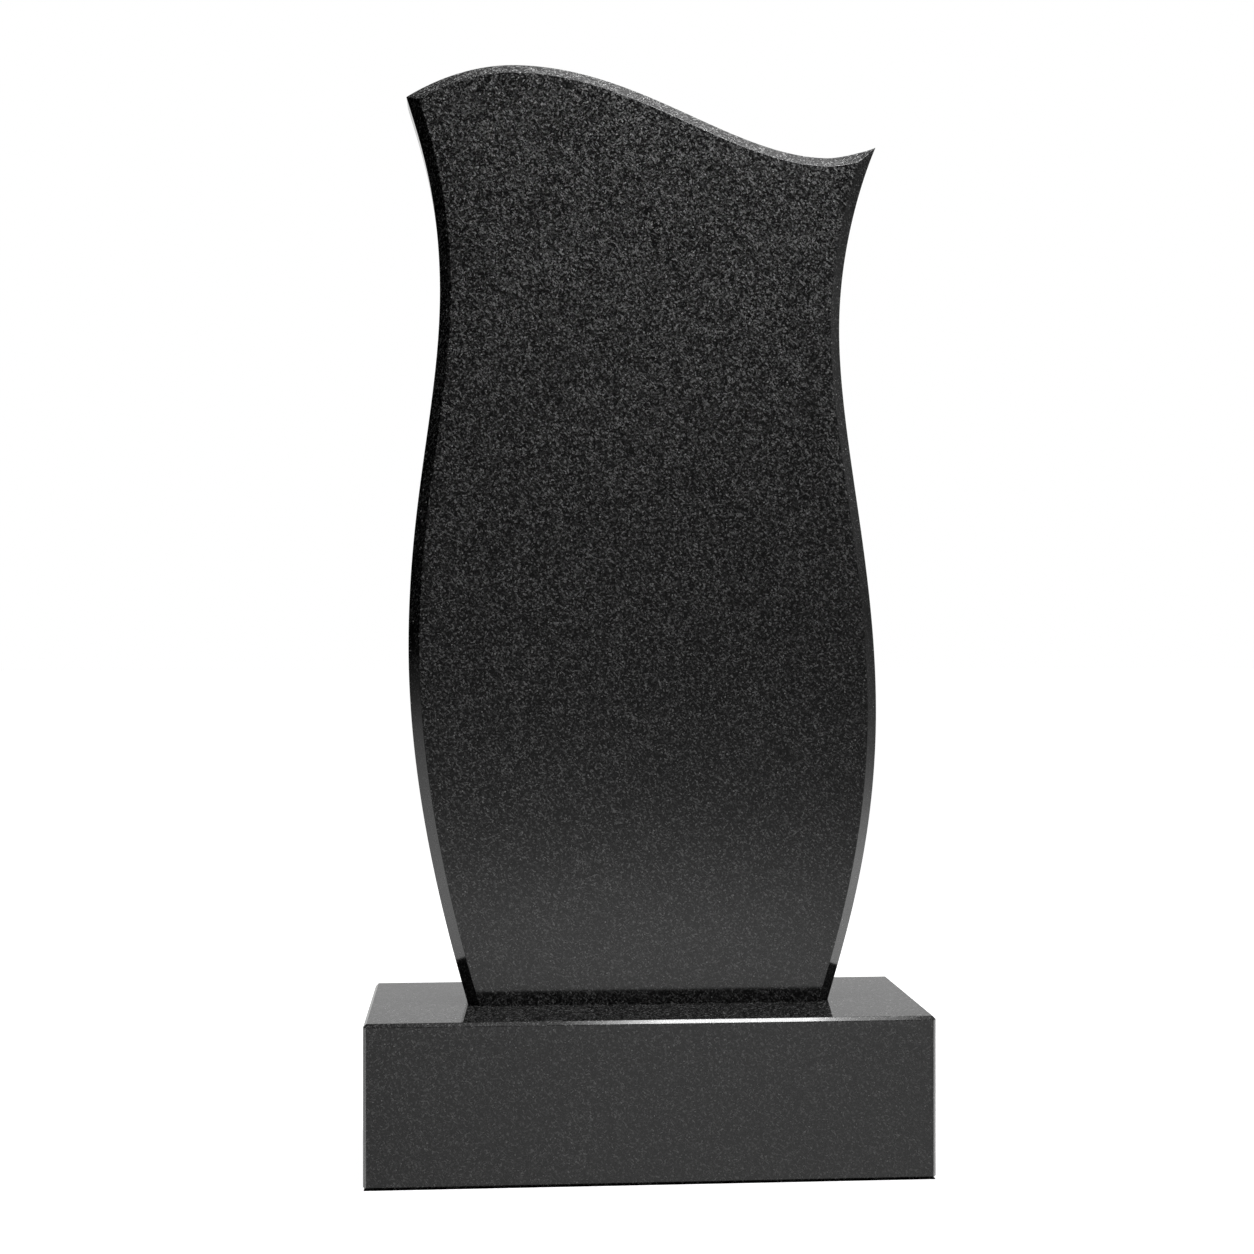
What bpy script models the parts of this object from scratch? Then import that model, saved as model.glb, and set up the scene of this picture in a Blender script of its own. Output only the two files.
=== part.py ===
"""A headstone of polished black gabbro: a wave-topped stele standing on a rectangular plinth.

Metres, +Z up. The front faces -Y and +X runs to the right of someone who stands before it. The origin is on
the ground, at the centre of the plinth's underside.
"""

from typing import NamedTuple

import bmesh
import bpy
import numpy as np

# The stele, sawn from one slab
STELE_WIDTH = 0.600  # over the two bellies, the widest places of its sides
STELE_HEIGHT = 1.192  # from its foot to the crest of the wave
STELE_THICKNESS = 0.050
CHAMFER_WIDTH = 0.014  # of the broad chamfer, measured across the front face
CHAMFER_DEPTH = 0.010  # of the same chamfer, measured from front to back
BACK_ARRIS_WIDTH = 0.002  # the 45 degree chamfer that takes the sharp edge off the back

# The plinth, sawn from a thicker block
PLINTH_HEIGHT = 0.200
PLINTH_END_LEDGE = 0.050  # how far each end stands out past the stele's bellies
PLINTH_FRONT_LEDGE = 0.075  # how far the plinth stands out before the stele's front face
PLINTH_BACK_LEDGE = 0.075  # and behind the stele's back
PLINTH_ARRIS_WIDTH = 0.004  # 45 degree chamfer along all of its edges

SEAT_GAP = 0.0003  # the bed joint between the stele's foot and the plinth's top

# Places that follow from the sizes above
PLINTH_LENGTH = STELE_WIDTH + 2 * PLINTH_END_LEDGE
PLINTH_DEPTH = PLINTH_FRONT_LEDGE + STELE_THICKNESS + PLINTH_BACK_LEDGE
STELE_FRONT = PLINTH_FRONT_LEDGE - PLINTH_DEPTH / 2
STELE_BACK = STELE_FRONT + STELE_THICKNESS
STELE_FOOT = PLINTH_HEIGHT + SEAT_GAP

# How the meshes are drawn
CURVE_STEPS = 16  # straight pieces in each stretch of the outline
SAME_PLACE = 1e-6  # corners nearer than this are one corner


class Knot(NamedTuple):
    """A point of the stele's outline, with the curve's pull into it and out of it.

    width_share is its place across, a share of the stele's width counted from its middle line. height_share is
    its place up, a share of the stele's height counted from its foot. Each pull is a pair of the same shares.
    """

    width_share: float
    height_share: float
    pull_in_shares: tuple = (0.0, 0.0)
    pull_out_shares: tuple = (0.0, 0.0)


# The outline, clockwise as seen from the front: up the left side, along the wave and down the right side.
# Each side swells to a belly and draws in to a waist, and the wave rises to a crest and sinks to a trough.
LEFT_FOOT = Knot(
    width_share=-0.375,
    height_share=0.000,
    pull_out_shares=(-0.030, 0.055),
)
LEFT_BELLY = Knot(
    width_share=-0.500,
    height_share=0.381,
    pull_in_shares=(0.000, 0.169),
    pull_out_shares=(0.000, 0.157),
)
LEFT_WAIST = Knot(
    width_share=-0.434,
    height_share=0.758,
    pull_in_shares=(0.000, 0.118),
    pull_out_shares=(0.000, 0.103),
)
LEFT_TIP = Knot(
    width_share=-0.5045,
    height_share=0.9635,
    pull_in_shares=(-0.022, 0.037),
    pull_out_shares=(0.050, 0.016),
)
CREST = Knot(
    width_share=-0.271,
    height_share=1.000,
    pull_in_shares=(0.100, 0.000),
    pull_out_shares=(0.265, 0.000),
)
TROUGH = Knot(
    width_share=0.393,
    height_share=0.907,
    pull_in_shares=(0.205, 0.000),
    pull_out_shares=(0.031, 0.000),
)
RIGHT_TIP = Knot(
    width_share=0.499,
    height_share=0.9195,
    pull_in_shares=(0.011, 0.003),
    pull_out_shares=(-0.006, -0.007),
)
RIGHT_WAIST = Knot(
    width_share=0.420,
    height_share=0.722,
    pull_in_shares=(0.000, -0.106),
    pull_out_shares=(0.000, -0.118),
)
RIGHT_BELLY = Knot(
    width_share=0.500,
    height_share=0.310,
    pull_in_shares=(0.000, -0.158),
    pull_out_shares=(0.000, -0.139),
)
RIGHT_FOOT = Knot(
    width_share=0.395,
    height_share=0.000,
    pull_in_shares=(-0.038, -0.066),
)

LEFT_SIDE = (LEFT_FOOT, LEFT_BELLY, LEFT_WAIST, LEFT_TIP)
WAVE = (LEFT_TIP, CREST, TROUGH, RIGHT_TIP)
RIGHT_SIDE = (RIGHT_TIP, RIGHT_WAIST, RIGHT_BELLY, RIGHT_FOOT)


def stretch(start, end):
    """Points of the cubic Bezier curve from one knot to the next, in shares, without its last point."""
    t = np.linspace(0, 1, CURVE_STEPS, endpoint=False)[:, None]
    first = np.array([start.width_share, start.height_share])
    last = np.array([end.width_share, end.height_share])
    second = first + start.pull_out_shares
    third = last - end.pull_in_shares
    return (1 - t) ** 3 * first + 3 * (1 - t) ** 2 * t * second + 3 * (1 - t) * t**2 * third + t**3 * last


def edge(knots):
    """Points along a run of knots, both ends included, in metres from the middle line and from the foot."""
    stretches = [stretch(start, end) for start, end in zip(knots, knots[1:])]
    last = [[knots[-1].width_share, knots[-1].height_share]]
    return np.concatenate([*stretches, last]) * [STELE_WIDTH, STELE_HEIGHT]


def carried_on(end, before, length):
    """The point that lies a length past an end, straight on from the point before it."""
    step = end - before
    return end + step * length / np.linalg.norm(step)


def meeting(a, b, c, d):
    """Where the straight line through a and b meets the one through c and d."""
    steps = np.linalg.solve(np.stack([b - a, c - d], axis=1), c - a)
    return a + steps[0] * (b - a)


def has_room(points, normals, outline, width):
    """Whether a band of this width fits inside the outline at each point.

    It fits where the circle that touches the outline at the point, and passes through any other point of the
    outline, is never smaller than the width. Beside a tip the next edge makes that circle too small.
    """
    to_others = outline[None] - points[:, None]
    ahead = (to_others * normals[:, None]).sum(axis=2)
    apart = (to_others**2).sum(axis=2)
    radius = np.where(ahead > SAME_PLACE, apart / np.maximum(2 * ahead, SAME_PLACE), np.inf)
    return radius.min(axis=1) > width


def inset(edges, width):
    """The edges moved into the stone by a width, one inner point for each outer one, mitred at the tips.

    A point beside a tip, where the band has no room, gets the inner end of the mitre.
    """
    outline = np.concatenate(edges)
    moved = []
    kept = []
    for points in edges:
        along = np.gradient(points, axis=0)
        along /= np.linalg.norm(along, axis=1)[:, None]
        normals = np.stack([along[:, 1], -along[:, 0]], axis=1)
        moved.append(points + normals * width)
        kept.append(np.flatnonzero(has_room(points, normals, outline, width)[1:-1]) + 1)
    for one, other in zip(range(len(edges)), range(1, len(edges))):
        first, last = moved[one], moved[other]
        before, after = kept[one], kept[other]
        mitre = meeting(first[before[-2]], first[before[-1]], last[after[1]], last[after[0]])
        first[before[-1] + 1 :] = mitre
        last[: after[0]] = mitre
    return moved


def row(mesh, points, y):
    """One vertex for each point, in the upright plane at this y."""
    return [mesh.verts.new((x, y, STELE_FOOT + z)) for x, z in points]


def cap(mesh, edges, y):
    """The flat face inside an inset, without the points that repeat a mitre's end."""
    points = np.concatenate(edges)
    apart = np.linalg.norm(np.diff(points, axis=0), axis=1)
    mesh.faces.new(row(mesh, points[np.concatenate([[True], apart > SAME_PLACE])], y))


def stele_mesh():
    """The slab, drawn a little past its foot with its chamfers, and then sawn off square at the foot."""
    left, wave, right = edge(LEFT_SIDE), edge(WAVE), edge(RIGHT_SIDE)
    surplus = 2 * CHAMFER_WIDTH
    left = np.concatenate([[carried_on(left[0], left[1], surplus)], left])
    right = np.concatenate([right, [carried_on(right[-1], right[-2], surplus)]])
    edges = [left, wave, right]
    front = inset(edges, CHAMFER_WIDTH)
    back = inset(edges, BACK_ARRIS_WIDTH)

    mesh = bmesh.new()
    for outer, front_inner, back_inner in zip(edges, front, back):
        rows = [
            row(mesh, front_inner, STELE_FRONT),
            row(mesh, outer, STELE_FRONT + CHAMFER_DEPTH),
            row(mesh, outer, STELE_BACK - BACK_ARRIS_WIDTH),
            row(mesh, back_inner, STELE_BACK),
        ]
        for near, far in zip(rows, rows[1:]):
            for place in range(len(outer) - 1):
                mesh.faces.new((near[place], near[place + 1], far[place + 1], far[place]))
    cap(mesh, front, STELE_FRONT)
    cap(mesh, back, STELE_BACK)
    bmesh.ops.remove_doubles(mesh, verts=mesh.verts, dist=SAME_PLACE)
    sawn = bmesh.ops.bisect_plane(
        mesh,
        geom=[*mesh.verts, *mesh.edges, *mesh.faces],
        plane_co=(0, 0, STELE_FOOT),
        plane_no=(0, 0, -1),
        clear_outer=True,
    )
    foot_edges = [item for item in sawn["geom_cut"] if isinstance(item, bmesh.types.BMEdge)]
    bmesh.ops.edgenet_fill(mesh, edges=foot_edges)
    bmesh.ops.recalc_face_normals(mesh, faces=mesh.faces)
    return mesh


def plinth_mesh():
    """A block standing on the ground, with a small chamfer along every edge."""
    mesh = bmesh.new()
    bmesh.ops.create_cube(mesh, size=1)
    bmesh.ops.scale(mesh, vec=(PLINTH_LENGTH, PLINTH_DEPTH, PLINTH_HEIGHT), verts=mesh.verts)
    bmesh.ops.translate(mesh, vec=(0, 0, PLINTH_HEIGHT / 2), verts=mesh.verts)
    bmesh.ops.bevel(
        mesh,
        geom=mesh.edges[:],
        offset=PLINTH_ARRIS_WIDTH,
        offset_type="OFFSET",
        segments=1,
        affect="EDGES",
    )
    bmesh.ops.recalc_face_normals(mesh, faces=mesh.faces)
    return mesh


def polished_gabbro(name, base_colour, roughness):
    """Near-black stone with a polish that mirrors what stands round it."""
    stone = bpy.data.materials.new(name)
    stone.use_nodes = True
    shader = stone.node_tree.nodes["Principled BSDF"]
    shader.inputs["Base Color"].default_value = (*base_colour, 1)
    shader.inputs["Roughness"].default_value = roughness
    shader.inputs["Metallic"].default_value = 0
    return stone


def add_piece(name, mesh, material):
    """A named object of the finished mesh, in its own material."""
    data = bpy.data.meshes.new(name)
    mesh.to_mesh(data)
    mesh.free()
    data.materials.append(material)
    piece = bpy.data.objects.new(name, data)
    bpy.context.scene.collection.objects.link(piece)


for leftover in list(bpy.data.objects):
    bpy.data.objects.remove(leftover)

add_piece("stele", stele_mesh(), polished_gabbro("stele_polish", (0.022, 0.022, 0.023), 0.10))
add_piece("plinth", plinth_mesh(), polished_gabbro("plinth_polish", (0.030, 0.030, 0.031), 0.15))
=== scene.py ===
"""The looks of a polished black gabbro headstone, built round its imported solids.

Metres, +Z up. The front faces -Y, +X is to the right of someone who stands before it, and the origin is on
the ground under the middle of the plinth.
"""

import math
from typing import NamedTuple

import bmesh
import bpy
import numpy as np
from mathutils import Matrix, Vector


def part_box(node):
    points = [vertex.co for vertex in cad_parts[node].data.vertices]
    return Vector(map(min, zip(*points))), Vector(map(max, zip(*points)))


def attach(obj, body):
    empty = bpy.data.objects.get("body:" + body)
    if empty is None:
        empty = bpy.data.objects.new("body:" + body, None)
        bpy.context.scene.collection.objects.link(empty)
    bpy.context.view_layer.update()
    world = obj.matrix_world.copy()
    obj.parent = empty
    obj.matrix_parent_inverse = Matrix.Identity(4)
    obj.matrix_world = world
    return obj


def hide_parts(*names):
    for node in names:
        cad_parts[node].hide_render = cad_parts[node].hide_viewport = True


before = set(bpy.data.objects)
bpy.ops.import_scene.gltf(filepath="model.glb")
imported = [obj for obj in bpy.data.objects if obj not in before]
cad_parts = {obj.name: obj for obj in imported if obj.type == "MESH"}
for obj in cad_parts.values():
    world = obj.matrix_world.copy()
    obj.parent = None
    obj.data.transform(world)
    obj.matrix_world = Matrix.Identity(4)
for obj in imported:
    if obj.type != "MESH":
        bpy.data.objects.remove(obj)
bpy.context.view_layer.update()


# The plinth is one block of gabbro, sawn square on all six sides. Its top, front and ends are polished with
# felt and tin oxide, and a 45 degree arris is ground along every edge so that it doesn't chip.

plinth_low, plinth_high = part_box("plinth")
PLINTH_ARRIS = 0.004
PLINTH_MARGIN = 0.012  # how far in the mesh's rings reach over the flat top and underside
EASED = 0.0004  # how far the polisher's pad rounds over each ground edge
HOLD = 0.0003  # a narrow flat beside each rounding, which keeps the broad faces true
ARC_STEPS = 4  # straight pieces in each rounding
MOST_ROUNDED = 1 / 3  # a rounding takes no more than this share of a short side
MOST_HELD = 0.4  # and no more than this with the flat beside it
NO_LENGTH = 1e-12  # keeps a division by the length of a missing side finite
MERGED = 2e-6  # points nearer to each other than this become one
FOLDED = 1e-7  # edges shorter than this are taken away
SMOOTH_UP_TO = 20  # degrees between two faces that still meet smoothly


def srgb(code):
    """A hex colour as linear red, green, blue and alpha: each channel through the sRGB curve."""
    channels = [int(code[place : place + 2], 16) / 255 for place in (1, 3, 5)]
    linear = [c / 12.92 if c <= 0.04045 else ((c + 0.055) / 1.055) ** 2.4 for c in channels]
    return (*linear, 1.0)


def add_node(tree, kind, links=None, stops=(), **settings):
    """Adds a node with its settings, and sets or links its inputs.

    A value is set, a socket is linked, and a node stands for its first output. The stops of a colour ramp
    are pairs of a position and a linear colour.
    """
    node = tree.nodes.new(kind)
    for name, value in settings.items():
        setattr(node, name, value)
    for name, value in (links or {}).items():
        source = value.outputs[0] if isinstance(value, bpy.types.Node) else value
        if isinstance(source, bpy.types.NodeSocket):
            tree.links.new(source, node.inputs[name])
        else:
            node.inputs[name].default_value = source
    if stops:
        elements = node.color_ramp.elements
        while len(elements) < len(stops):
            elements.new(0.5)
        for element, (position, colour) in zip(elements, stops):
            element.position = position
            element.color = colour
    return node


def rounded(corners, reach, closed):
    """A chain of straight lines with each corner rounded over.

    corners is (..., number, 2). Each corner becomes ARC_STEPS + 3 points: one that holds the flat before it,
    a quadratic curve from a reach before the corner to a reach after it, and one that holds the flat after.
    An open chain keeps its first and last point as they are.
    """
    before = np.roll(corners, 1, axis=-2) - corners
    after = np.roll(corners, -1, axis=-2) - corners
    before_length = np.linalg.norm(before, axis=-1, keepdims=True)
    after_length = np.linalg.norm(after, axis=-1, keepdims=True)
    before = before / np.maximum(before_length, NO_LENGTH)
    after = after / np.maximum(after_length, NO_LENGTH)
    t = np.linspace(0, 1, ARC_STEPS + 1)[:, None]
    near = np.minimum(reach, before_length * MOST_ROUNDED)[..., None, :]
    far = np.minimum(reach, after_length * MOST_ROUNDED)[..., None, :]
    hold_before = np.minimum(reach + HOLD, before_length * MOST_HELD)[..., None, :]
    hold_after = np.minimum(reach + HOLD, after_length * MOST_HELD)[..., None, :]
    middle = corners[..., None, :]
    arc = middle + (1 - t) ** 2 * near * before[..., None, :] + t**2 * far * after[..., None, :]
    first = middle + hold_before * before[..., None, :]
    last = middle + hold_after * after[..., None, :]
    points = np.concatenate([first, arc, last], axis=-2)
    if not closed:
        inner = points[..., 1:-1, :, :].reshape(*corners.shape[:-2], -1, 2)
        return np.concatenate([corners[..., :1, :], inner, corners[..., -1:, :]], axis=-2)
    return points.reshape(*corners.shape[:-2], -1, 2)


def grid_faces(rows, columns, wrap):
    """Corner numbers of the quads of a grid that is stored row by row, closed round its columns or open."""
    numbers = np.arange(rows * columns).reshape(rows, columns)
    here = numbers if wrap else numbers[:, :-1]
    beside = np.roll(numbers, -1, axis=1) if wrap else numbers[:, 1:]
    quads = np.stack([here[:-1], beside[:-1], beside[1:], here[1:]], axis=-1)
    return quads.reshape(-1, 4)


def closed_piece(name, points, quads, caps):
    """A mesh object from points, quads and flat many-sided caps.

    Points in one place become one, faces that fold to nothing go, and every face is turned outwards.
    """
    mesh = bpy.data.meshes.new(name)
    mesh.from_pydata(points.tolist(), [], quads.tolist() + [cap.tolist() for cap in caps])
    work = bmesh.new()
    work.from_mesh(mesh)
    bmesh.ops.remove_doubles(work, verts=work.verts, dist=MERGED)
    bmesh.ops.dissolve_degenerate(work, edges=work.edges, dist=FOLDED)
    bmesh.ops.recalc_face_normals(work, faces=work.faces)
    work.to_mesh(mesh)
    work.free()
    mesh.shade_smooth()
    mesh.set_sharp_from_angle(angle=math.radians(SMOOTH_UP_TO))
    piece = bpy.data.objects.new(name, mesh)
    bpy.context.scene.collection.objects.link(piece)
    return piece


def plinth_mesh():
    """Rings of the block's plan, each with eight corners, stacked along its upright section.

    The section runs up the outside, from a margin in on the underside to a margin in on the top, and its
    four corners are rounded. Each ring's upright edges are cut at 45 degrees, less so the farther the ring
    lies in, so that three arrises meet in a small triangle.
    """
    low = np.array(plinth_low)
    high = np.array(plinth_high)
    section = np.array(
        [
            [PLINTH_MARGIN, low[2]],
            [PLINTH_ARRIS, low[2]],
            [0, low[2] + PLINTH_ARRIS],
            [0, high[2] - PLINTH_ARRIS],
            [PLINTH_ARRIS, high[2]],
            [PLINTH_MARGIN, high[2]],
        ]
    )
    profile = rounded(section, EASED, closed=False)
    inward = profile[:, 0]
    kept = np.maximum(PLINTH_ARRIS, inward)
    left, right = low[0] + inward, high[0] - inward
    front, back = low[1] + inward, high[1] - inward
    left_cut, right_cut = low[0] + kept, high[0] - kept
    front_cut, back_cut = low[1] + kept, high[1] - kept
    corners = (
        (left_cut, front),
        (right_cut, front),
        (right, front_cut),
        (right, back_cut),
        (right_cut, back),
        (left_cut, back),
        (left, back_cut),
        (left, front_cut),
    )
    plan = np.stack([np.stack(corner, axis=-1) for corner in corners], axis=1)
    rings = rounded(plan, EASED, closed=True)
    count = rings.shape[1]
    height = np.repeat(profile[:, 1:2], count, axis=1)
    points = np.concatenate([rings, height[..., None]], axis=-1).reshape(-1, 3)
    quads = grid_faces(len(profile), count, wrap=True)
    underside = np.arange(count)
    top = np.arange(count) + (len(profile) - 1) * count
    return points, quads, [underside, top]


LATH_LENGTH = 0.0034  # of a feldspar lath, drawn about twice as coarse as it grows, so that it shows
LATH_WIDTH = 0.0012
LATH_TURNS = ((0.5, 0.35, 0.0), (-0.4, 1.4, 0.0), (0.3, 2.45, 0.6))  # radians about X, Y and Z, by layer
BLACK_BELOW = 0.65  # cells less bright than this are black augite
GROUND_AT = 0.85  # and this bright they are the stone's grey ground
LATH_AT = 0.95
SPECK_SPACING = 0.011  # between the few large bright crystals
SPECK_RADIUS = 0.0009
CLOUD_SIZE = 0.060  # of the faint lighter and darker clouds
CLOUD_DEPTH = 0.08  # how much lighter or darker they are
GABBRO_IOR = 1.55


def lath_layer(tree, place, turn):
    """A brightness between 0 and 1 for each of a field of long cells, all lying along one direction."""
    laid = add_node(
        tree,
        "ShaderNodeMapping",
        {"Vector": place, "Rotation": turn, "Scale": (LATH_WIDTH, LATH_WIDTH, LATH_LENGTH)},
        vector_type="TEXTURE",
    )
    cells = add_node(tree, "ShaderNodeTexVoronoi", {"Vector": laid, "Scale": 1.0})
    return add_node(tree, "ShaderNodeSeparateColor", {"Color": cells.outputs["Color"]}).outputs["Red"]


def gabbro(
    name,
    roughness,
    black="#090909",
    ground="#2e2e2e",
    lath="#565656",
    bright="#7e7e7e",
    speck="#a0a0a0",
):
    """Fine black gabbro: pale feldspar laths crossing each other in a nearly black ground, and bright specks.

    Each of three layers is a field of long cells, turned its own way, and each cell has a brightness of its
    own. The brightest layer shows, so that laths lie across one another as they do in the sawn stone.
    """
    stone = bpy.data.materials.new(name)
    stone.use_nodes = True
    tree = stone.node_tree
    place = add_node(tree, "ShaderNodeTexCoord").outputs["Object"]
    first, second, third = [lath_layer(tree, place, turn) for turn in LATH_TURNS]
    brighter = add_node(tree, "ShaderNodeMath", {0: first, 1: second}, operation="MAXIMUM")
    brightest = add_node(tree, "ShaderNodeMath", {0: brighter, 1: third}, operation="MAXIMUM")
    minerals = add_node(
        tree,
        "ShaderNodeValToRGB",
        {"Fac": brightest},
        stops=(
            (BLACK_BELOW, srgb(black)),
            (GROUND_AT, srgb(ground)),
            (LATH_AT, srgb(lath)),
            (1.0, srgb(bright)),
        ),
    )
    cloud = add_node(tree, "ShaderNodeTexNoise", {"Vector": place, "Scale": 1 / CLOUD_SIZE, "Detail": 2.0})
    clouded = add_node(
        tree,
        "ShaderNodeMapRange",
        {
            "Value": cloud.outputs["Fac"],
            "From Min": 0.3,
            "From Max": 0.7,
            "To Min": 1 - CLOUD_DEPTH,
            "To Max": 1 + CLOUD_DEPTH,
        },
    )
    colour = add_node(
        tree,
        "ShaderNodeVectorMath",
        {0: minerals.outputs["Color"], "Scale": clouded.outputs["Result"]},
        operation="SCALE",
    )
    dots = add_node(tree, "ShaderNodeTexVoronoi", {"Vector": place, "Scale": 1 / SPECK_SPACING})
    inside = add_node(
        tree,
        "ShaderNodeMath",
        {0: dots.outputs["Distance"], 1: SPECK_RADIUS / SPECK_SPACING},
        operation="LESS_THAN",
    )
    specked = add_node(
        tree,
        "ShaderNodeMix",
        {"Factor": inside, "A": colour.outputs["Vector"], "B": srgb(speck)},
        data_type="RGBA",
    )
    shader = tree.nodes["Principled BSDF"]
    tree.links.new(specked.outputs["Result"], shader.inputs["Base Color"])
    shader.inputs["Roughness"].default_value = roughness
    shader.inputs["IOR"].default_value = GABBRO_IOR
    return stone


# A full polish: the grain lies deep and dark under a clear reflection.
plinth = closed_piece("Plinth", *plinth_mesh())
plinth.data.materials.append(gabbro("Polished gabbro, plinth", roughness=0.07))
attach(plinth, "root")
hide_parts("plinth")


# The stele is one slab of the same gabbro. Its outline is cut by a wire saw that follows a template, the
# broad chamfer is ground round the front by hand, and the face is polished, while the back is only honed.

stele_low, stele_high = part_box("stele")
STELE_WIDTH = 0.600
STELE_HEIGHT = 1.192
CHAMFER_WIDTH = 0.014
CHAMFER_DEPTH = 0.010
BACK_ARRIS = 0.002
STELE_MARGIN = 0.002  # how far in the mesh's rings reach over the flat face and the flat back
CURVE_STEPS = 64  # straight pieces in each curve of the outline
TOUCHING = 1e-6  # a distance or a width under this counts as none


class Knot(NamedTuple):
    """A point of the stele's outline, with the curve's pull into it and out of it.

    Each is a pair: a share of the stele's width, counted from its middle line, and a share of its height,
    counted from its foot.
    """

    place: tuple
    pull_in: tuple = (0.0, 0.0)
    pull_out: tuple = (0.0, 0.0)


LEFT_FOOT = Knot(place=(-0.375, 0.0), pull_out=(-0.030, 0.055))
LEFT_BELLY = Knot(place=(-0.500, 0.381), pull_in=(0.0, 0.169), pull_out=(0.0, 0.157))
LEFT_WAIST = Knot(place=(-0.434, 0.758), pull_in=(0.0, 0.118), pull_out=(0.0, 0.103))
LEFT_TIP = Knot(place=(-0.5045, 0.9635), pull_in=(-0.022, 0.037), pull_out=(0.050, 0.016))
CREST = Knot(place=(-0.271, 1.0), pull_in=(0.100, 0.0), pull_out=(0.265, 0.0))
TROUGH = Knot(place=(0.393, 0.907), pull_in=(0.205, 0.0), pull_out=(0.031, 0.0))
RIGHT_TIP = Knot(place=(0.499, 0.9195), pull_in=(0.011, 0.003), pull_out=(-0.006, -0.007))
RIGHT_WAIST = Knot(place=(0.420, 0.722), pull_in=(0.0, -0.106), pull_out=(0.0, -0.118))
RIGHT_BELLY = Knot(place=(0.500, 0.310), pull_in=(0.0, -0.158), pull_out=(0.0, -0.139))
RIGHT_FOOT = Knot(place=(0.395, 0.0), pull_in=(-0.038, -0.066))


def bezier(start, end):
    """Points of the cubic Bezier curve from one knot to the next, in shares, without its last point.

    Its four control points are the two knots and, between them, the ends of the pull out of the first and
    of the pull into the second.
    """
    t = np.linspace(0, 1, CURVE_STEPS, endpoint=False)[:, None]
    first, last = np.array(start.place), np.array(end.place)
    second, third = first + start.pull_out, last - end.pull_in
    return (1 - t) ** 3 * first + 3 * (1 - t) ** 2 * t * second + 3 * (1 - t) * t**2 * third + t**3 * last


def run_of_curves(knots):
    """Points of the curves through a run of knots, in metres from the middle line and from the foot."""
    curves = [bezier(start, end) for start, end in zip(knots, knots[1:])]
    return np.concatenate([*curves, [knots[-1].place]]) * [STELE_WIDTH, STELE_HEIGHT]


def directions(points):
    """The unit direction along a run of points, at each point."""
    along = np.gradient(points, axis=0)
    return along / np.linalg.norm(along, axis=1)[:, None]


def room_at(points, inward, outline):
    """How far the outline can be moved in at each point before it meets itself.

    It is the radius of the smallest circle that touches the outline at the point, inside the stone, and
    passes through another of its points.
    """
    to_others = outline[None] - points[:, None]
    ahead = (to_others * inward[:, None]).sum(axis=2)
    apart = (to_others**2).sum(axis=2)
    return np.where(ahead > TOUCHING, apart / np.maximum(2 * ahead, TOUCHING), np.inf).min(axis=1)


def crossing(a, b, c, d):
    """Where the straight line through a and b meets the one through c and d."""
    steps = np.linalg.solve(np.stack([b - a, c - d], axis=1), c - a)
    return a + steps[0] * (b - a)


def inset_ring(edges, width):
    """The outline moved into the stone by a width and mitred at the tips, its two ends slid down to the foot.

    Every ring has one point for each point of the outline. Those beside a tip, where the band has no room,
    gather in the end of the mitre.
    """
    outline = np.concatenate(edges)
    moved = []
    kept = []
    for points in edges:
        along = directions(points)
        inward = np.stack([along[:, 1], -along[:, 0]], axis=1)
        moved.append(points + inward * width)
        kept.append(np.flatnonzero(room_at(points, inward, outline)[1:-1] > width) + 1)
    if width > TOUCHING:
        for one in range(len(edges) - 1):
            first, last = moved[one], moved[one + 1]
            before, after = kept[one], kept[one + 1]
            mitre = crossing(first[before[-2]], first[before[-1]], last[after[1]], last[after[0]])
            first[before[-1] + 1 :] = mitre
            last[: after[0]] = mitre
    for points, end, along in (
        (moved[0], 0, directions(edges[0])[0]),
        (moved[-1], -1, directions(edges[-1])[-1]),
    ):
        points[end] -= along * points[end][1] / along[1]
    return np.concatenate(moved)


def stele_mesh():
    """Rings of the outline, stacked from front to back along the section through the slab's edge.

    The section starts on the face, crosses the broad chamfer, runs back along the side, crosses the small
    arris and ends on the back. Its corners are rounded over by the polisher's pad.
    """
    front, back = stele_low[1], stele_high[1]
    section = np.array(
        [
            [CHAMFER_WIDTH + STELE_MARGIN, front],
            [CHAMFER_WIDTH, front],
            [0, front + CHAMFER_DEPTH],
            [0, back - BACK_ARRIS],
            [BACK_ARRIS, back],
            [BACK_ARRIS + STELE_MARGIN, back],
        ]
    )
    profile = rounded(section, EASED, closed=False)
    edges = [
        run_of_curves([LEFT_FOOT, LEFT_BELLY, LEFT_WAIST, LEFT_TIP]),
        run_of_curves([LEFT_TIP, CREST, TROUGH, RIGHT_TIP]),
        run_of_curves([RIGHT_TIP, RIGHT_WAIST, RIGHT_BELLY, RIGHT_FOOT]),
    ]
    rings = np.stack([inset_ring(edges, width) for width in profile[:, 0]])
    count = rings.shape[1]
    depth = np.repeat(profile[:, 1:2], count, axis=1)
    points = np.stack([rings[..., 0], depth, rings[..., 1] + stele_low[2]], axis=-1).reshape(-1, 3)
    quads = grid_faces(len(profile), count, wrap=False)
    numbers = np.arange(len(profile) * count).reshape(len(profile), count)
    foot = np.concatenate([numbers[:, 0], numbers[::-1, -1]])
    return points, quads, [numbers[0], numbers[-1], foot]


def face_normals(mesh):
    """The outward direction of every face of a mesh, one row for each."""
    normals = np.empty(len(mesh.polygons) * 3)
    mesh.polygons.foreach_get("normal", normals)
    return normals.reshape(-1, 3)


FACE, SIDES, BACK, FOOT = range(4)  # places of the stele's finishes in its list of materials
SQUARE_ON = 0.999  # how nearly a flat side's faces point straight forwards, backwards or down
UPWARD = 0.3  # faces that point up more than this lie along the wave

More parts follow.
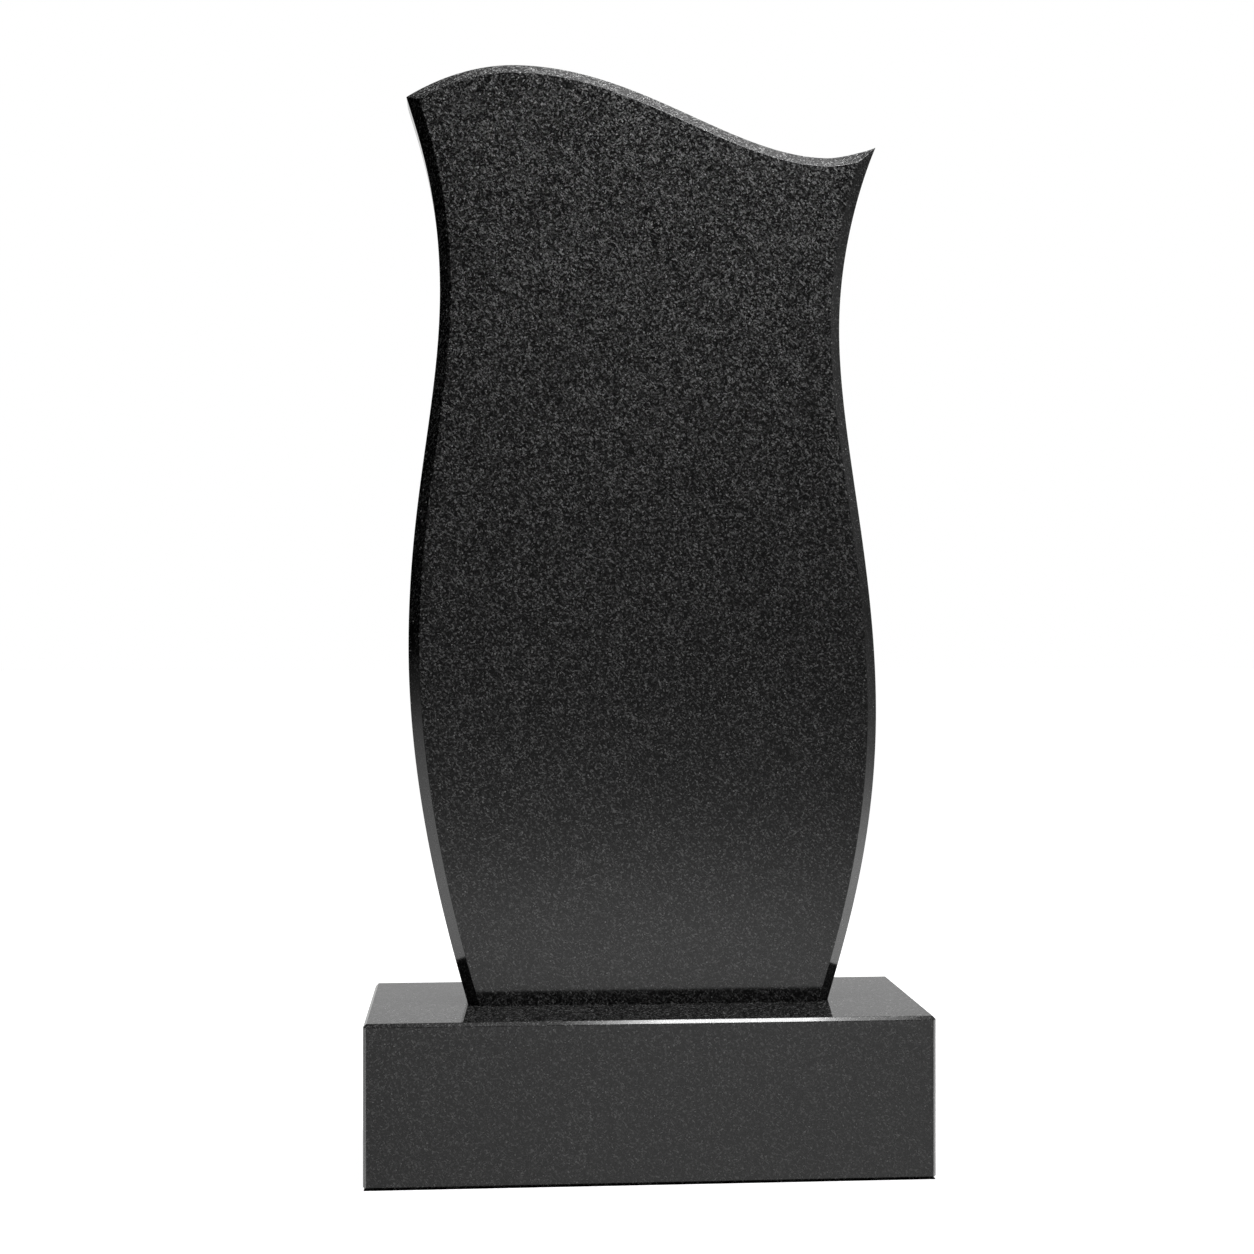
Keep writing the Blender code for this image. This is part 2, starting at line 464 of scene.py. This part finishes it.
stele = closed_piece("Stele", *stele_mesh())
for finish in (
    # The last grit is a little coarser than the plinth's, so reflections blur slightly and the grain shows.
    gabbro("Polished gabbro, face and top", roughness=0.11),
    # The narrow sides get a finer polish. Their colours are a painted shade, darker than the face's, with
    # hardly any grain to be seen.
    gabbro(
        "Polished gabbro, sides in painted shade",
        roughness=0.08,
        black="#040404",
        ground="#1b1b1b",
        lath="#363636",
        bright="#525252",
    ),
    # Honed is smooth without a gloss: the same grain, under a broad dull sheen.
    gabbro("Honed gabbro, back", roughness=0.42),
    # The saw leaves the foot rough, and its scratches scatter the light to a dull grey.
    gabbro(
        "Sawn gabbro, foot",
        roughness=0.75,
        black="#2a2a2a",
        ground="#4a4a4a",
        lath="#7a7a7a",
        bright="#9c9c9c",
    ),
):
    stele.data.materials.append(finish)
normals = face_normals(stele.data)
# Every face starts with the sides' colours, a painted shade darker than the face's. The face, back and foot
# then take their own.
finishes = np.full(len(normals), SIDES)
finishes[normals[:, 2] > UPWARD] = FACE
finishes[normals[:, 1] < -SQUARE_ON] = FACE
finishes[normals[:, 1] > SQUARE_ON] = BACK
finishes[normals[:, 2] < -SQUARE_ON] = FOOT
stele.data.polygons.foreach_set("material_index", finishes)
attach(stele, "root")
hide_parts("stele")


# The studio is a white floor that runs on into a white wall. Two soft lights bring out the stone's grain, and
# its polish mirrors a softbox over the front and a glow that is set by direction, for the room around it.

FLOOR_SIZE = 60
FLOOR_GLOW = 0.98  # light of the floor's own, which makes it as white as the wall behind it
SHADE_LIFT = 0.0002  # of the strip of shade above the floor, so that the two don't lie in one plane


def matt_paint(name, colour):
    """A material without any gloss, and its shader."""
    paint = bpy.data.materials.new(name)
    paint.use_nodes = True
    shader = paint.node_tree.nodes["Principled BSDF"]
    shader.inputs["Base Color"].default_value = srgb(colour)
    shader.inputs["Roughness"].default_value = 1.0
    shader.inputs["Specular IOR Level"].default_value = 0.0
    return paint, shader


def add_floor():
    """A white floor, which the polish doesn't mirror because the world below the horizon stands for it."""
    bpy.ops.mesh.primitive_plane_add(size=FLOOR_SIZE, location=(0, 0, 0))
    floor = bpy.context.active_object
    floor.name = "Studio floor"
    paint, shader = matt_paint("White studio floor", "#f4f4f4")
    shader.inputs["Emission Color"].default_value = srgb("#ffffff")
    shader.inputs["Emission Strength"].default_value = FLOOR_GLOW
    floor.data.materials.append(paint)
    floor.visible_glossy = False
    floor.visible_diffuse = False


def add_contact_shadow():
    """The strip of floor under the plinth's lower arris, where no light comes: it shows as a black line."""
    bpy.ops.mesh.primitive_plane_add(size=1, location=(0, 0, SHADE_LIFT))
    shadow = bpy.context.active_object
    shadow.name = "Contact shadow"
    width, depth = plinth_high[0] - plinth_low[0], plinth_high[1] - plinth_low[1]
    shadow.scale = (width - PLINTH_ARRIS / 2, depth - PLINTH_ARRIS / 2, 1)
    shade, _ = matt_paint("Floor in the plinth's shade", "#0a0a0a")
    shadow.data.materials.append(shade)


def add_light(name, place, target, size, spread, power):
    """A square light aimed at a place, its beam kept within a spread of so many degrees.

    It lights the grain alone: the polish doesn't mirror it.
    """
    data = bpy.data.lights.new(name, "AREA")
    data.shape = "SQUARE"
    data.size = size
    data.spread = math.radians(spread)
    data.energy = power
    light = bpy.data.objects.new(name, data)
    light.location = place
    light.rotation_euler = (Vector(target) - Vector(place)).to_track_quat("-Z", "Y").to_euler()
    light.visible_glossy = False
    bpy.context.scene.collection.objects.link(light)


def grey_stop(position, brightness):
    """A stop of a colour ramp that stands for a brightness."""
    return position, (brightness, brightness, brightness, 1)


def add_softbox(place, width, depth, brightness, dimming):
    """A softbox for the polish alone: a panel that faces down and casts neither light nor shade on the grain.

    dimming gives the share of its brightness by the share of the way from its left end to its right.
    """
    bpy.ops.mesh.primitive_plane_add(size=1, location=place)
    panel = bpy.context.active_object
    panel.name = "Softbox"
    panel.scale = (width, depth, 1)
    cloth = bpy.data.materials.new("Softbox cloth")
    cloth.use_nodes = True
    tree = cloth.node_tree
    tree.nodes.clear()
    place_on_panel = add_node(tree, "ShaderNodeTexCoord").outputs["Generated"]
    across = add_node(tree, "ShaderNodeSeparateXYZ", {"Vector": place_on_panel}).outputs["X"]
    stops = [grey_stop(share, dimmed) for share, dimmed in dimming.items()]
    ramp = add_node(tree, "ShaderNodeValToRGB", {"Fac": across}, stops=stops)
    shine = add_node(tree, "ShaderNodeEmission", {"Color": ramp.outputs["Color"], "Strength": brightness})
    add_node(tree, "ShaderNodeOutputMaterial", {"Surface": shine})
    panel.data.materials.append(cloth)
    panel.visible_diffuse = False
    panel.visible_camera = False
    panel.visible_shadow = False


BRIGHTEST = 2.5  # what white in a glow's ramp stands for
MATT_ABOVE = 0.02  # brightness of the glow above the horizon that lights the stone's grain
MATT_BELOW = 0.42  # and of the glow below it
FRONT_MIDDLE = 0.12  # where the front glow is brightest, as the sine of its angle to the right
FRONT_REACH = 0.5  # how far from there it has faded out, as the same sine
STRAIGHT_UP = 1e-6  # keeps a division finite where a direction has no level part


def glow(tree, height, brightness_at):
    """One side's glow: its brightness by the angle above the horizon in degrees."""
    stops = [
        grey_stop((angle + 90) / 180, brightness / BRIGHTEST)
        for angle, brightness in brightness_at.items()
    ]
    return add_node(tree, "ShaderNodeValToRGB", {"Fac": height}, stops=stops).outputs["Color"]


def build_world():
    """White to the camera, and to the stone a ring of four sides whose glows blend into each other.

    Each side is dark straight below, in the stone's own shade, and bright on the lit floor farther out. To
    the left, the right and the front the room is dim from there up to its lit ceiling, and at the back it has
    a bright wall.
    """
    world = bpy.data.worlds.new("Studio")
    bpy.context.scene.world = world
    world.use_nodes = True
    tree = world.node_tree
    tree.nodes.clear()
    direction = add_node(tree, "ShaderNodeTexCoord").outputs["Generated"]
    parts = add_node(tree, "ShaderNodeSeparateXYZ", {"Vector": direction}).outputs
    angle = add_node(tree, "ShaderNodeMath", {0: parts["Z"]}, operation="ARCSINE")
    height = add_node(tree, "ShaderNodeMath", {0: angle, 1: 1 / math.pi, 2: 0.5}, operation="MULTIPLY_ADD")
    across = add_node(tree, "ShaderNodeMath", {0: parts["X"], 1: parts["X"]}, operation="MULTIPLY")
    along = add_node(tree, "ShaderNodeMath", {0: parts["Y"], 1: parts["Y"]}, operation="MULTIPLY")
    both_ways = add_node(tree, "ShaderNodeMath", {0: across, 1: along}, operation="ADD")
    level = add_node(tree, "ShaderNodeMath", {0: both_ways, 1: STRAIGHT_UP}, operation="MAXIMUM")
    sideways = add_node(tree, "ShaderNodeMath", {0: across, 1: level}, operation="DIVIDE")

    level_length = add_node(tree, "ShaderNodeMath", {0: level}, operation="SQRT")
    sine = add_node(tree, "ShaderNodeMath", {0: parts["X"], 1: level_length}, operation="DIVIDE")
    off_middle = add_node(tree, "ShaderNodeMath", {0: sine, 1: FRONT_MIDDLE}, operation="SUBTRACT")
    squared = add_node(tree, "ShaderNodeMath", {0: off_middle, 1: off_middle}, operation="MULTIPLY")
    fading = add_node(tree, "ShaderNodeMath", {0: squared, 1: FRONT_REACH**-2}, operation="MULTIPLY")
    left_over = add_node(tree, "ShaderNodeMath", {0: 1.0, 1: fading}, operation="SUBTRACT")
    to_middle = add_node(tree, "ShaderNodeMath", {0: left_over, 1: 0.0}, operation="MAXIMUM")

    left = glow(
        tree,
        height,
        {
            -90: 0.0,
            -50: 0.5,
            -32: 1.6,
            -25: 2.3,
            -21: 2.2,
            -17.5: 1.88,
            -14: 1.58,
            -9.5: 1.07,
            -4.7: 0.25,
            -1: 0.03,
            1: 0.0,
            45: 0.0,
            66: 0.1,
            76: 0.15,
            90: 0.6,
        },
    )
    right = glow(
        tree,
        height,
        {
            -90: 0.0,
            -50: 0.5,
            -32: 1.6,
            -24: 2.25,
            -17: 2.3,
            -13.6: 1.77,
            -10.3: 1.13,
            -6.7: 0.68,
            -2.9: 0.42,
            1: 0.36,
            5: 0.22,
            12: 0.4,
            30: 0.2,
            62: 1.3,
            84: 1.3,
            90: 0.6,
        },
    )
    front = glow(
        tree,
        height,
        {
            -90: 0.0,
            -40: 0.4,
            -22: 0.76,
            -16: 0.78,
            -13.6: 1.04,
            -11.5: 0.92,
            -9.4: 0.58,
            -7.3: 0.35,
            -5.4: 0.24,
            -1.6: 0.14,
            4: 0.10,
            15: 0.06,
            22: 0.03,
            50: 0.1,
            73: 0.95,
            90: 0.6,
        },
    )
    back = glow(
        tree,
        height,
        {
            -90: 0.0,
            -62: 0.0,
            -48: 0.9,
            0: 0.95,
            15: 0.86,
            60: 0.9,
            80: 0.62,
            90: 0.6,
        },
    )
    to_right = add_node(tree, "ShaderNodeMath", {0: parts["X"], 1: 0.0}, operation="GREATER_THAN")
    to_back = add_node(tree, "ShaderNodeMath", {0: parts["Y"], 1: 0.0}, operation="GREATER_THAN")
    narrowed = add_node(tree, "ShaderNodeVectorMath", {0: front, "Scale": to_middle}, operation="SCALE")
    side, end = [
        add_node(tree, "ShaderNodeMix", {"Factor": factor, "A": one, "B": other}, data_type="RGBA")
        for factor, one, other in ((to_right, left, right), (to_back, narrowed, back))
    ]
    seen = add_node(
        tree,
        "ShaderNodeMix",
        {"Factor": sideways, "A": end.outputs["Result"], "B": side.outputs["Result"]},
        data_type="RGBA",
    )
    mirrored = add_node(
        tree,
        "ShaderNodeBackground",
        {"Color": seen.outputs["Result"], "Strength": BRIGHTEST},
    )

    # The grain gets a light of its own, weaker to the sides, so that only the polish sees the glows above.
    above = add_node(tree, "ShaderNodeMath", {0: parts["Z"], 1: 0.0}, operation="GREATER_THAN")
    ambient = add_node(
        tree,
        "ShaderNodeMath",
        {0: above, 1: MATT_ABOVE - MATT_BELOW, 2: MATT_BELOW},
        operation="MULTIPLY_ADD",
    )
    strength = add_node(tree, "ShaderNodeMath", {0: ambient, 1: along}, operation="MULTIPLY")
    matt = add_node(tree, "ShaderNodeBackground", {"Color": srgb("#ffffff"), "Strength": strength})

    path = add_node(tree, "ShaderNodeLightPath").outputs
    round_stone = add_node(tree, "ShaderNodeMixShader", {0: path["Is Diffuse Ray"], 1: mirrored, 2: matt})
    behind = add_node(tree, "ShaderNodeBackground", {"Color": srgb("#ffffff"), "Strength": 1.0})
    studio = add_node(tree, "ShaderNodeMixShader", {0: path["Is Camera Ray"], 1: round_stone, 2: behind})
    add_node(tree, "ShaderNodeOutputWorld", {"Surface": studio})


def add_camera(place, turn, lens, shift):
    """A level camera at a place, turned so many degrees to the right, its picture shifted on the sensor."""
    data = bpy.data.cameras.new("Camera")
    data.sensor_width = 36
    data.lens = lens
    data.shift_x, data.shift_y = shift
    camera = bpy.data.objects.new("Camera", data)
    camera.location = place
    camera.rotation_euler = (math.radians(90), 0, math.radians(-turn))
    bpy.context.scene.collection.objects.link(camera)
    bpy.context.scene.camera = camera


add_floor()
add_contact_shadow()
add_light("Key", place=(0.6, -1.0, 2.6), target=(0, 0, 1.3), size=0.6, spread=50, power=3.0)
add_light("Top light", place=(0.1, -0.1, 2.1), target=(0.1, -0.1, 0), size=0.5, spread=180, power=18)
add_softbox(
    place=(0.525, -0.734, 2.4),
    width=1.05,
    depth=0.5,
    brightness=20,
    dimming={0.0: 0.03, 0.1: 0.17, 0.19: 0.42, 0.32: 1.0, 0.71: 1.0, 0.77: 0.4, 0.83: 0.25, 1.0: 0.1},
)
build_world()
add_camera(place=(-0.2071, -1.6979, 0.6581), turn=2.94, lens=38.03, shift=(0.0614, 0.0127))
bpy.context.scene.view_settings.view_transform = "Standard"
